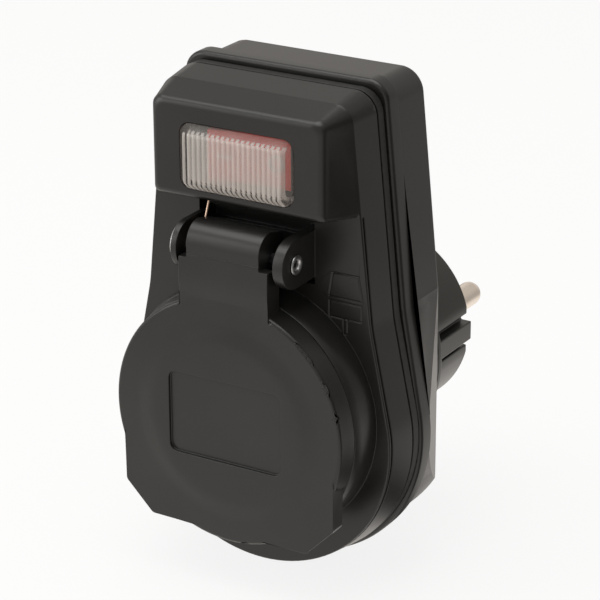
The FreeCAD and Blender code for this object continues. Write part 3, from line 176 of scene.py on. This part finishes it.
class Finish(Nodes):
    """A material with one Principled shader; constants are set on its own sockets."""

    def __init__(self, name, **constants):
        self.material = bpy.data.materials.new(name)
        self.material.use_nodes = True
        super().__init__(self.material.node_tree)
        self.shader = self.tree.nodes["Principled BSDF"]
        self.wear(**constants)

    def wear(self, **inputs):
        """Sets sockets of the shader by name, with _ for each space."""
        for socket, value in inputs.items():
            self.set(self.shader, socket.replace("_", " "), value)

    def place(self):
        return self.node("TexCoord", {}, {}, "Object")

    def axis(self, name):
        """One coordinate of the point, in metres."""
        return self.node("SeparateXYZ", {}, {0: self.place()}, name)

    def noise(self, scale, detail=2.0, roughness=0.5, stretch=(1, 1, 1)):
        """Cloudy noise from 0 to 1; scale is in cells per metre, stretch multiplies it along each axis."""
        spread = self.node("VectorMath", {"operation": "MULTIPLY"}, {0: self.place(), 1: stretch})
        return self.node("TexNoise", {}, {"Vector": spread, "Scale": scale, "Detail": detail,
                                          "Roughness": roughness})

    def blend(self, factor, first, second):
        """Colour between two colours."""
        return self.node("Mix", {"data_type": "RGBA"}, {0: factor, 6: first, 7: second}, 2)

    def bump(self, height, depth):
        """Relief of that depth in metres feeds the shader's normal."""
        self.wear(Normal=self.node("Bump", {}, {"Height": height, "Distance": depth}))


# Tent: a pale surround that lights the part from all sides and shows plain white to the camera.
# Reflections find it brighter low behind the part and dim towards the right.
world = bpy.data.worlds.new("tent")
bpy.context.scene.world = world
world.use_nodes = True
tent = Nodes(world.node_tree)
sky = tent.tree.nodes["Background"]
tent_diffuse = 0.42
tent_glossy = 0.50
tent_behind = 0.28
tent_right = 0.42
height = tent.node("SeparateXYZ", {}, {0: tent.node("TexCoord", {}, {}, "Generated")}, "Z")
behind = tent.heading((-0.515, 0.857, 0), "Generated").between(0.3, 1.0) * height.between(0.25, 0.6, 1.0, 0.0)
right = tent.heading((1, 0, 0), "Generated").between(0.45, 0.95) * height.between(0.3, 0.8, 1.0, 0.0)
glossy = behind * tent_behind - right * tent_right + tent_glossy
glossy_ray = tent.rays("Is Glossy Ray")
white_ray = tent.rays("Is Camera Ray", "Is Transmission Ray")
lit = glossy * glossy_ray + (1 - glossy_ray) * tent_diffuse
warm = tent.node("Mix", {"data_type": "RGBA"}, {0: white_ray, 6: (1, 0.95, 0.895), 7: (1, 1, 1)}, 2)
tent.set(sky, "Color", warm)
tent.set(sky, "Strength", lit * (1 - white_ray) + white_ray)

# Floor: a wide white sheet under the part. It shows white to the camera, keeps the part's soft shadow,
# and reflections find it bright at the front left, paler behind and dark at the right.
sheet = bpy.data.meshes.new("floor")
reach = 4.0
floor_z = cad_box[0][2] - 0.05 * MM
sheet.from_pydata([(-reach, -reach, floor_z), (reach, -reach, floor_z), (reach, reach, floor_z),
                   (-reach, reach, floor_z)], [], [(0, 1, 2, 3)])
floor = bpy.data.objects.new("floor", sheet)
bpy.context.scene.collection.objects.link(floor)
paper = Finish("floor_paper", Base_Color=(0.86, 0.85, 0.83), Roughness=0.9)
grain = paper.noise(900.0, 3.0)
paper.bump(grain, 0.02 * MM)
floor_front = 0.95
floor_back = 0.50
floor_dark = 0.09
front = paper.heading((-0.515, -0.857, 0)).between(-0.3, 0.55)
back = paper.heading((0.515, 0.857, 0)).between(0.35, 0.95)
away = paper.node("VectorMath", {"operation": "LENGTH"}, {0: paper.place()}, "Value")
near = away.between(0.05, 0.22, 2.0, 0.72)
seen = (front * floor_front + back * floor_back) * near + floor_dark
camera_ray = paper.rays("Is Camera Ray", "Is Transmission Ray")
glossy_ray = paper.rays("Is Glossy Ray")
white = paper.node("Emission", {}, {"Color": (1, 1, 1)})
pale = paper.node("Emission", {}, {"Color": paper.blend(seen, (0, 0, 0), (1, 0.95, 0.895))})
bounced = paper.node("MixShader", {}, {0: glossy_ray, 1: Wire(paper, paper.shader.outputs[0]), 2: pale})
mixed = paper.node("MixShader", {}, {0: camera_ray * 0.86, 1: bounced, 2: white})
paper.tree.links.new(mixed.socket, paper.tree.nodes["Material Output"].inputs["Surface"])
sheet.materials.append(paper.material)


# Housing shells: two black mouldings with a fine spark-eroded grain, screwed together from the back.
# The front one carries the switch block, the collar and the hinge lugs; the rear one the plinth.
def black_moulding(name, colour, roughness, grain):
    """Black plastic: slow clouds in colour and sheen, flow marks, and a fine grain as relief."""
    finish = Finish(name)
    clouds = finish.noise(48.0, 3.0)
    flow = finish.noise(30.0, 2.0, 0.5, (1, 1, 6))
    fine = finish.noise(3200.0, 2.0, 0.6)
    deeper = tuple(c * 1.4 for c in colour)
    finish.wear(Base_Color=finish.blend(clouds.between(0.3, 0.7), colour, deeper),
                Roughness=clouds * 0.05 + flow * 0.04 + fine * 0.06 + (roughness - 0.075))
    finish.bump(fine + clouds * 0.5, grain * MM)
    return finish.material


weld_distance = 0.002
flat_angle = 0.4
sharp_angle = 32


def dress(node, material, edge=0.0):
    """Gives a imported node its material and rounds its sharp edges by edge, in millimetres."""
    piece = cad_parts[node]
    piece.data.materials.clear()
    piece.data.materials.append(material)
    count = len(piece.data.polygons)
    piece.data.polygons.foreach_set("use_smooth", np.ones(count, bool))
    piece.data.polygons.foreach_set("material_index", np.zeros(count, np.int32))
    weld = piece.modifiers.new("weld", "WELD")
    weld.merge_threshold = weld_distance * MM
    if edge:
        flat = piece.modifiers.new("flat", "DECIMATE")
        flat.decimate_type = "DISSOLVE"
        flat.angle_limit = math.radians(flat_angle)
        bevel = piece.modifiers.new("edge", "BEVEL")
        bevel.width = edge * MM
        bevel.segments = 2
        bevel.limit_method = "ANGLE"
        bevel.angle_limit = math.radians(sharp_angle)
        bevel.use_clamp_overlap = False
        bevel.miter_outer = "MITER_ARC"
    normals = piece.modifiers.new("normals", "WEIGHTED_NORMAL")
    normals.keep_sharp = True


shell_black = black_moulding("shell_black", (0.0105, 0.0102, 0.0096), 0.33, 0.010)
dress("front_shell", shell_black, 0.12)
dress("rear_shell", shell_black, 0.12)

# Seam ring and lid seal: moulded black rubber. The ring's bead fills the seam between two fine grooves;
# the seal lies under the lid and presses on the rim of the socket.
rubber = Finish("seal_rubber")
dust = rubber.noise(700.0, 4.0, 0.6)
rubber.wear(Base_Color=rubber.blend(dust.between(0.45, 0.75), (0.009, 0.009, 0.009), (0.020, 0.019, 0.018)),
            Roughness=dust * 0.15 + 0.48)
rubber.bump(dust, 0.015 * MM)
dress("shell_gasket", rubber.material, 0.1)
dress("lid_gasket", rubber.material, 0.2)

# Housing screws: four pan heads with a cross slot, zinc plated, in deep seats in the back.
# The plating is thin: it is bluish and a little cloudy, with faint turning marks.
zinc = Finish("zinc_steel", Metallic=1.0)
cloud = zinc.noise(900.0, 3.0)
zinc.wear(Base_Color=zinc.blend(cloud, (0.55, 0.56, 0.58), (0.68, 0.68, 0.67)), Roughness=cloud * 0.2 + 0.22)
zinc.bump(zinc.noise(5000.0, 2.0), 0.004 * MM)
dress("housing_screws", zinc.material, 0.12)

# Socket insert: the round cup that takes the mating plug, moulded in a harder, smoother black plastic.
# The front shell's collar holds it at its flange, and posts of the rear shell press it forward.
insert_black = black_moulding("insert_black", (0.0125, 0.0125, 0.0125), 0.27, 0.004)
dress("socket_insert", insert_black, 0.2)

# Conductors: sleeves, strips, tabs, rocking arms and plungers, stamped or turned from brass.
# Rolling leaves fine lines along the sheet, and handling leaves darker, duller patches.
brass = Finish("contact_brass", Metallic=1.0)
tarnish = brass.noise(220.0, 4.0, 0.6)
rolled = brass.noise(1200.0, 2.0, 0.5, (8, 8, 0.6))
brass.wear(Base_Color=brass.blend(tarnish.between(0.4, 0.7), (0.72, 0.53, 0.25), (0.52, 0.35, 0.16)),
           Roughness=tarnish * 0.22 + rolled * 0.12 + 0.16)
brass.bump(rolled, 0.004 * MM)
for node in ("live_contact_sleeve", "neutral_contact_sleeve", "live_feed_strip", "neutral_feed_strip",
             "live_load_strip", "neutral_load_strip", "common_terminals", "on_terminals",
             "live_contact_arm", "neutral_contact_arm", "plungers"):
    dress(node, brass.material, 0.08)

# Earth parts: two bent straps and the two rivets that join them, nickel plated brass.
# The front strap's arms press on the mating plug, the rear one's lie in the grooves of the plug body.
nickel = Finish("nickel_plate", Metallic=1.0)
haze = nickel.noise(400.0, 3.0)
nickel.wear(Base_Color=nickel.blend(haze, (0.66, 0.62, 0.55), (0.75, 0.71, 0.65)), Roughness=haze * 0.16 + 0.14)
nickel.bump(nickel.noise(3000.0, 2.0), 0.003 * MM)
for node in ("socket_earth_bracket", "plug_earth_bracket", "earth_rivets"):
    dress(node, nickel.material, 0.15)

# Plug body: hollow moulding that carries the pins, in a harder plastic of a greener black.
# Its spigot is pressed into the rear shell's plinth.
plug_black = black_moulding("plug_black", (0.0125, 0.0130, 0.0110), 0.30, 0.006)
dress("plug_body", plug_black, 0.25)

# Plug pins: turned brass with nickel plate of a warm tint, riveted into the plug's face.
# The lathe leaves rings around the pin that the plating only softens.
pin_metal = Finish("pin_nickel", Metallic=1.0)
ring_marks = pin_metal.noise(900.0, 2.0, 0.5, (0.3, 9, 0.3))
smear = pin_metal.noise(180.0, 3.0)
pin_metal.wear(Base_Color=pin_metal.blend(smear, (0.86, 0.76, 0.66), (0.93, 0.85, 0.76)),
               Roughness=smear * 0.12 + ring_marks * 0.12 + 0.18)
pin_metal.bump(ring_marks, 0.003 * MM)
dress("live_pin", pin_metal.material)
dress("neutral_pin", pin_metal.material)

# Switch frame: the open case of the rocker switch, a plain black moulding behind the cap.
# Its ears lie behind the block's front wall and hold the cap's flange there.
frame_black = black_moulding("frame_black", (0.012, 0.012, 0.012), 0.36, 0.008)
dress("switch_frame", frame_black, 0.15)

# Rocker: translucent red moulding with a dished face, so that the lamp behind it can shine through.
# It is polished, and its red turns a little deeper in random clouds.
red = Finish("rocker_red", Coat_Weight=0.4, Coat_Roughness=0.12, Subsurface_Weight=0.35,
             Subsurface_Radius=(0.004, 0.0008, 0.0005), Subsurface_Scale=0.5)
depth = red.noise(160.0, 3.0)
red.wear(Base_Color=red.blend(depth, (0.70, 0.055, 0.045), (0.80, 0.085, 0.070)), Roughness=depth * 0.12 + 0.16)
red.bump(red.noise(900.0, 2.0), 0.006 * MM)
dress("rocker", red.material, 0.3)

# Marks on the rocker: a bar and a ring, moulded first in white and set in the red face.
inlay = Finish("mark_white")
speck = inlay.noise(1500.0, 2.0)
inlay.wear(Base_Color=inlay.blend(speck, (0.80, 0.78, 0.75), (0.88, 0.87, 0.85)), Roughness=speck * 0.1 + 0.25)
dress("rocker_marks", inlay.material)

# Neon lamp and its resistor, on thin leads behind the rocker. The lamp is a small glass tube of a warm tint;
# the resistor is lacquered, with colour bands.
glass = Finish("lamp_glass", Transmission_Weight=0.7, IOR=1.45)
film = glass.noise(500.0, 2.0)
glass.wear(Base_Color=glass.blend(film, (0.95, 0.80, 0.68), (0.90, 0.70, 0.55)), Roughness=film * 0.1 + 0.05)
dress("neon_lamp", glass.material)
lacquer = Finish("resistor_lacquer", Coat_Weight=0.5)
up = lacquer.axis("Z") * (1 / MM)
band = (up.math("PINGPONG", up, 0.75) - 0.5).between(0.0, 0.05)
gloss = lacquer.noise(600.0, 2.0)
lacquer.wear(Base_Color=lacquer.blend(band, (0.62, 0.48, 0.28), (0.22, 0.07, 0.03)), Roughness=gloss * 0.15 + 0.22)
dress("lamp_resistor", lacquer.material)


# Switch cap: a clear flexible moulding over the rocker, with bevelled walls and fine upright ribs.
# Its flange is trapped behind the block's front wall, which keeps water out of the switch.
def surface(name, points, faces, body, material, node):
    """Adds an object of points in millimetres and faces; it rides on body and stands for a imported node."""
    a, b, c = (points[faces[:, k]] for k in range(3))
    d = points[faces[:, 3]]
    volume = np.einsum("ij,ij->", a, np.cross(b, c)) + np.einsum("ij,ij->", a, np.cross(c, d))
    if volume < 0:
        faces = faces[:, ::-1]
    mesh = bpy.data.meshes.new(name)
    mesh.from_pydata((points * MM).tolist(), [], faces.tolist())
    mesh.polygons.foreach_set("use_smooth", np.ones(len(faces), bool))
    mesh.materials.append(material)
    piece = bpy.data.objects.new(name, mesh)
    bpy.context.scene.collection.objects.link(piece)
    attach(piece, body)
    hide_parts(node)


def quads(index):
    """Faces between neighbours in a grid of point numbers."""
    return np.stack([index[:-1, :-1], index[:-1, 1:], index[1:, 1:], index[1:, :-1]], axis=-1).reshape(-1, 4)


cap_low, cap_high = (np.array(corner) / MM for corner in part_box("switch_cap"))
cap_centre_z = (cap_low[2] + cap_high[2]) / 2
cap_flange = (1.4, 0.25)
cap_half_x = cap_high[0] - cap_flange[0]
cap_half_z = (cap_high[2] - cap_low[2]) / 2 - cap_flange[1]
cap_front_y = cap_low[1]
cap_depth = 1.67
cap_foot_y = cap_front_y + cap_depth
cap_back_y = cap_high[1]
cap_flange_thickness = 1.0
cap_flange_y = cap_back_y - cap_flange_thickness
cap_slant = 1.35
cap_corner = 2.2
cap_wall = 0.8
rib_pitch = 1.03
rib_height = 0.16
rib_fade = 0.3
rib_low_fade = 0.6
points_per_rib = 8
cap_edge_inset = 0.05
cap_rows = 23


def cap_surface():
    """Points and faces of the closed cap.

    Over the foot the distance inwards from its rounded outline is worked out for each point. The height rises in
    a straight line with that distance up to the flat front, where the size of a sine of x adds the ribs; they run
    out at the top and the sides and over the lower bevel. Four rings of the grid outside it make the skirt and
    the flange. The inner sheet repeats the outer one, moved in by the wall.
    """
    fine = np.arange(-cap_half_x + cap_edge_inset, cap_half_x, rib_pitch / points_per_rib)
    soft = np.sin(np.linspace(-math.pi / 2, math.pi / 2, cap_rows))
    wide = np.concatenate([[-cap_half_x] * 4, fine, [cap_half_x] * 4])
    tall = np.concatenate([[-cap_half_z] * 3, cap_half_z * soft, [cap_half_z] * 3])
    x, z = np.meshgrid(wide, tall, indexing="ij")
    columns, rows = np.indices(x.shape)
    step = np.minimum(np.minimum(columns, x.shape[0] - 1 - columns), np.minimum(rows, x.shape[1] - 1 - rows))
    over_x = np.maximum(np.abs(x) - (cap_half_x - cap_corner), 0)
    over_z = np.maximum(np.abs(z) - (cap_half_z - cap_corner), 0)
    past = np.hypot(over_x, over_z)
    pull = np.where(past > cap_corner, cap_corner / np.maximum(past, 1e-9), 1.0)
    x = np.sign(x) * (np.minimum(np.abs(x), cap_half_x - cap_corner) + over_x * pull)
    z = np.sign(z) * (np.minimum(np.abs(z), cap_half_z - cap_corner) + over_z * pull)
    straight = np.minimum(cap_half_x - np.abs(x), cap_half_z - np.abs(z))
    inwards = np.where(past > 0, cap_corner - past * pull, np.maximum(straight, 0))
    inwards = np.where((over_x > 0) & (over_z > 0), inwards, np.maximum(straight, 0))
    rise = np.clip(inwards / cap_slant, 0, 1)
    ribs = np.sqrt(np.abs(np.sin(math.pi * x / rib_pitch)))
    below_top = np.clip((cap_half_z - z - cap_slant) / rib_fade, 0, 1)
    off_sides = np.clip((cap_half_x - np.abs(x) - cap_slant) / rib_fade, 0, 1)
    on_front = below_top * off_sides * np.clip((cap_half_z + z) / rib_low_fade, 0, 1)
    plain = cap_foot_y + (cap_front_y + rib_height - cap_foot_y) * rise
    y = plain - rib_height * ribs * on_front
    grow = step < 2
    y = np.where(step == 2, cap_flange_y, np.where(step == 1, cap_flange_y, np.where(step == 0, cap_back_y, y)))
    reach_x = x + np.sign(x) * np.where(grow, cap_flange[0] * (np.abs(x) / cap_half_x), 0)
    reach_z = z + np.sign(z) * np.where(grow, cap_flange[1] * (np.abs(z) / cap_half_z), 0)
    outer = np.stack([reach_x, y, reach_z + cap_centre_z], axis=-1)
    narrow = 1 - cap_wall / cap_half_x
    lower = 1 - cap_wall / cap_half_z
    deep = np.where(step < 3, cap_back_y, np.minimum(plain + cap_wall, cap_back_y))
    inner = np.stack([x * narrow, deep, z * lower + cap_centre_z], axis=-1)
    index = np.arange(x.size).reshape(x.shape)
    rim = np.concatenate([index[:, 0], index[-1, 1:], index[-2::-1, -1], index[0, -2::-1]])
    edge = np.stack([rim, rim + x.size])
    faces = np.concatenate([quads(index), quads(index + x.size)[:, ::-1], quads(edge)[:, ::-1]])
    return np.concatenate([outer.reshape(-1, 3), inner.reshape(-1, 3)]), faces


clear = Finish("clear_cap", Coat_Weight=0.3, Coat_Roughness=0.15, IOR=1.45)
across = clear.axis("X")
above = clear.axis("Z") - cap_centre_z * MM
rib = (across * (math.pi / (rib_pitch * MM))).math("SINE", across * (math.pi / (rib_pitch * MM)))
# Rib crests are made more opaque, so the pale colour shows there as a painted highlight along each rib.
crest_highlight = rib.math("ABSOLUTE", rib).between(0.25, 0.75)
milk = clear.noise(260.0, 3.0)
front_half_x = (cap_half_x - cap_slant) * MM
front_half_z = (cap_half_z - cap_slant) * MM
ribbed = (across.math("ABSOLUTE", across).between(front_half_x - 0.2 * MM, front_half_x + 0.2 * MM, 1.0, 0.0)
          * above.between(front_half_z - 0.2 * MM, front_half_z + 0.2 * MM, 1.0, 0.0))
low_end = above.between(-front_half_z - 0.9 * MM, -front_half_z + 0.3 * MM, 1.0, 0.0)
clear.wear(Base_Color=clear.blend(milk, (0.62, 0.57, 0.53), (0.70, 0.66, 0.61)), Roughness=milk * 0.12 + 0.16,
           Alpha=ribbed * (crest_highlight * 0.50 + low_end * 0.25 - 0.05) + milk * 0.06 + 0.10)
cap_points, cap_faces = cap_surface()
surface("clear_switch_cap", cap_points, cap_faces, "housing", clear.material, "switch_cap")

# Lid: black moulding with a recessed field, two finger ears and a neck that ends in the hinge barrel.
# It has the housing's grain, a little smoother all over.
lid_black = black_moulding("lid_black", (0.0110, 0.0107, 0.0101), 0.32, 0.010)
dress("lid", lid_black, 0.14)

# Hinge pin: a zinc plated tube, with a formed head at the left and its right end flared over the lug.
pin_low, pin_high = (np.array(corner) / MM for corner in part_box("hinge_pin"))
hinge_y, hinge_z = (pin_low[1] + pin_high[1]) / 2, (pin_low[2] + pin_high[2]) / 2
pin_radius, pin_bore, flare, head = 1.2, 0.9, 1.85, 3.6
pin_facets = 48
flare_in = np.array([0.35, 0.34, 0.28, 0.16, 0.05, 0.0, 0.02, 0.12, 0.4, 0.9])
flare_radii = [pin_radius, 1.7, 1.8, flare, 1.78, 1.55, 1.3, 1.1, 0.95, pin_bore]
head_in = np.array([1.0, 0.98, 0.85, 0.55, 0.25, 0.08, 0.0, 0.1, 0.35, 0.9])
head_radii = [pin_radius, 3.3, 3.54, head, 3.4, 2.9, 1.9, 1.2, 1.0, pin_bore]


def hinge_pin_surface():
    """The tube's outline (x, radius), over the right flare, back along the bore and over the left head, spun.

    Each end's outline goes from the tube's outside to its bore, as distances in from that end and radii there.
    """
    right = np.stack([pin_high[0] - flare_in, flare_radii], axis=-1)
    left = np.stack([pin_low[0] + head_in, head_radii], axis=-1)[::-1]
    profile = np.concatenate([right, left])
    turn = np.linspace(0, 2 * math.pi, pin_facets, endpoint=False)
    x = np.repeat(profile[:, :1], len(turn), axis=1)
    y = hinge_y + profile[:, 1:] * np.cos(turn)
    z = hinge_z + profile[:, 1:] * np.sin(turn)
    points = np.stack([x, y, z], axis=-1)
    index = np.arange(x.size).reshape(x.shape)
    index = np.concatenate([index, index[:1]])
    index = np.concatenate([index, index[:, :1]], axis=1)
    return points.reshape(-1, 3), quads(index)


pin_points, pin_faces = hinge_pin_surface()
surface("flared_hinge_pin", pin_points, pin_faces, "housing", zinc.material, "hinge_pin")

# Springs: the lid's torsion spring is wound from a copper tinted wire about the hinge pin, with one leg
# up into the switch block. The two small springs behind the plungers are of the same wire.
spring_low, spring_high = (np.array(corner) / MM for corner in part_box("lid_spring"))
wire_radius = 0.25
coil_radius = 1.75
coil_turns = 4
points_per_turn = 40
leg_points = 12
wire_facets = 12
wire_end_radius = 0.02
leg_end_inset = 0.05
leg_x = spring_low[0] + wire_radius
coil_pitch = (spring_high[0] - wire_radius - leg_x) / coil_turns


def spring_surface():
    """A round tube along the leg, down to the coil, then along a helix about the hinge axis."""
    turn = np.linspace(0, 2 * math.pi * coil_turns, points_per_turn * coil_turns + 1)
    coil = np.stack([leg_x + coil_pitch * turn / (2 * math.pi), hinge_y + coil_radius * np.cos(turn),
                     hinge_z - coil_radius * np.sin(turn)], axis=-1)
    share = np.linspace(0, 1, leg_points)[:-1, None]
    top = np.array([leg_x, spring_high[1] - wire_radius, spring_high[2] - leg_end_inset])
    line = np.concatenate([top * (1 - share) + coil[0] * share, coil])
    along = np.gradient(line, axis=0)
    along /= np.linalg.norm(along, axis=1, keepdims=True)
    out = np.cross(along, (1.0, 0.0, 0.0))
    out /= np.linalg.norm(out, axis=1, keepdims=True)
    side = np.cross(along, out)
    around = np.linspace(0, 2 * math.pi, wire_facets, endpoint=False)
    ring = out[:, None] * np.cos(around)[:, None] + side[:, None] * np.sin(around)[:, None]
    radius = np.full((len(line), 1, 1), wire_radius)
    radius[0] = radius[-1] = wire_end_radius
    points = line[:, None] + ring * radius
    index = np.arange(len(line) * len(around)).reshape(len(line), len(around))
    return points.reshape(-1, 3), quads(np.concatenate([index, index[:, :1]], axis=1))


copper_wire = Finish("spring_wire", Metallic=1.0)
drawn = copper_wire.noise(1500.0, 2.0)
copper_wire.wear(Base_Color=copper_wire.blend(drawn, (0.62, 0.42, 0.30), (0.78, 0.58, 0.45)),
                 Roughness=drawn * 0.2 + 0.15)
copper_wire.bump(drawn, 0.004 * MM)
spring_points, spring_faces = spring_surface()
surface("wound_lid_spring", spring_points, spring_faces, "housing", copper_wire.material, "lid_spring")
dress("plunger_springs", copper_wire.material)
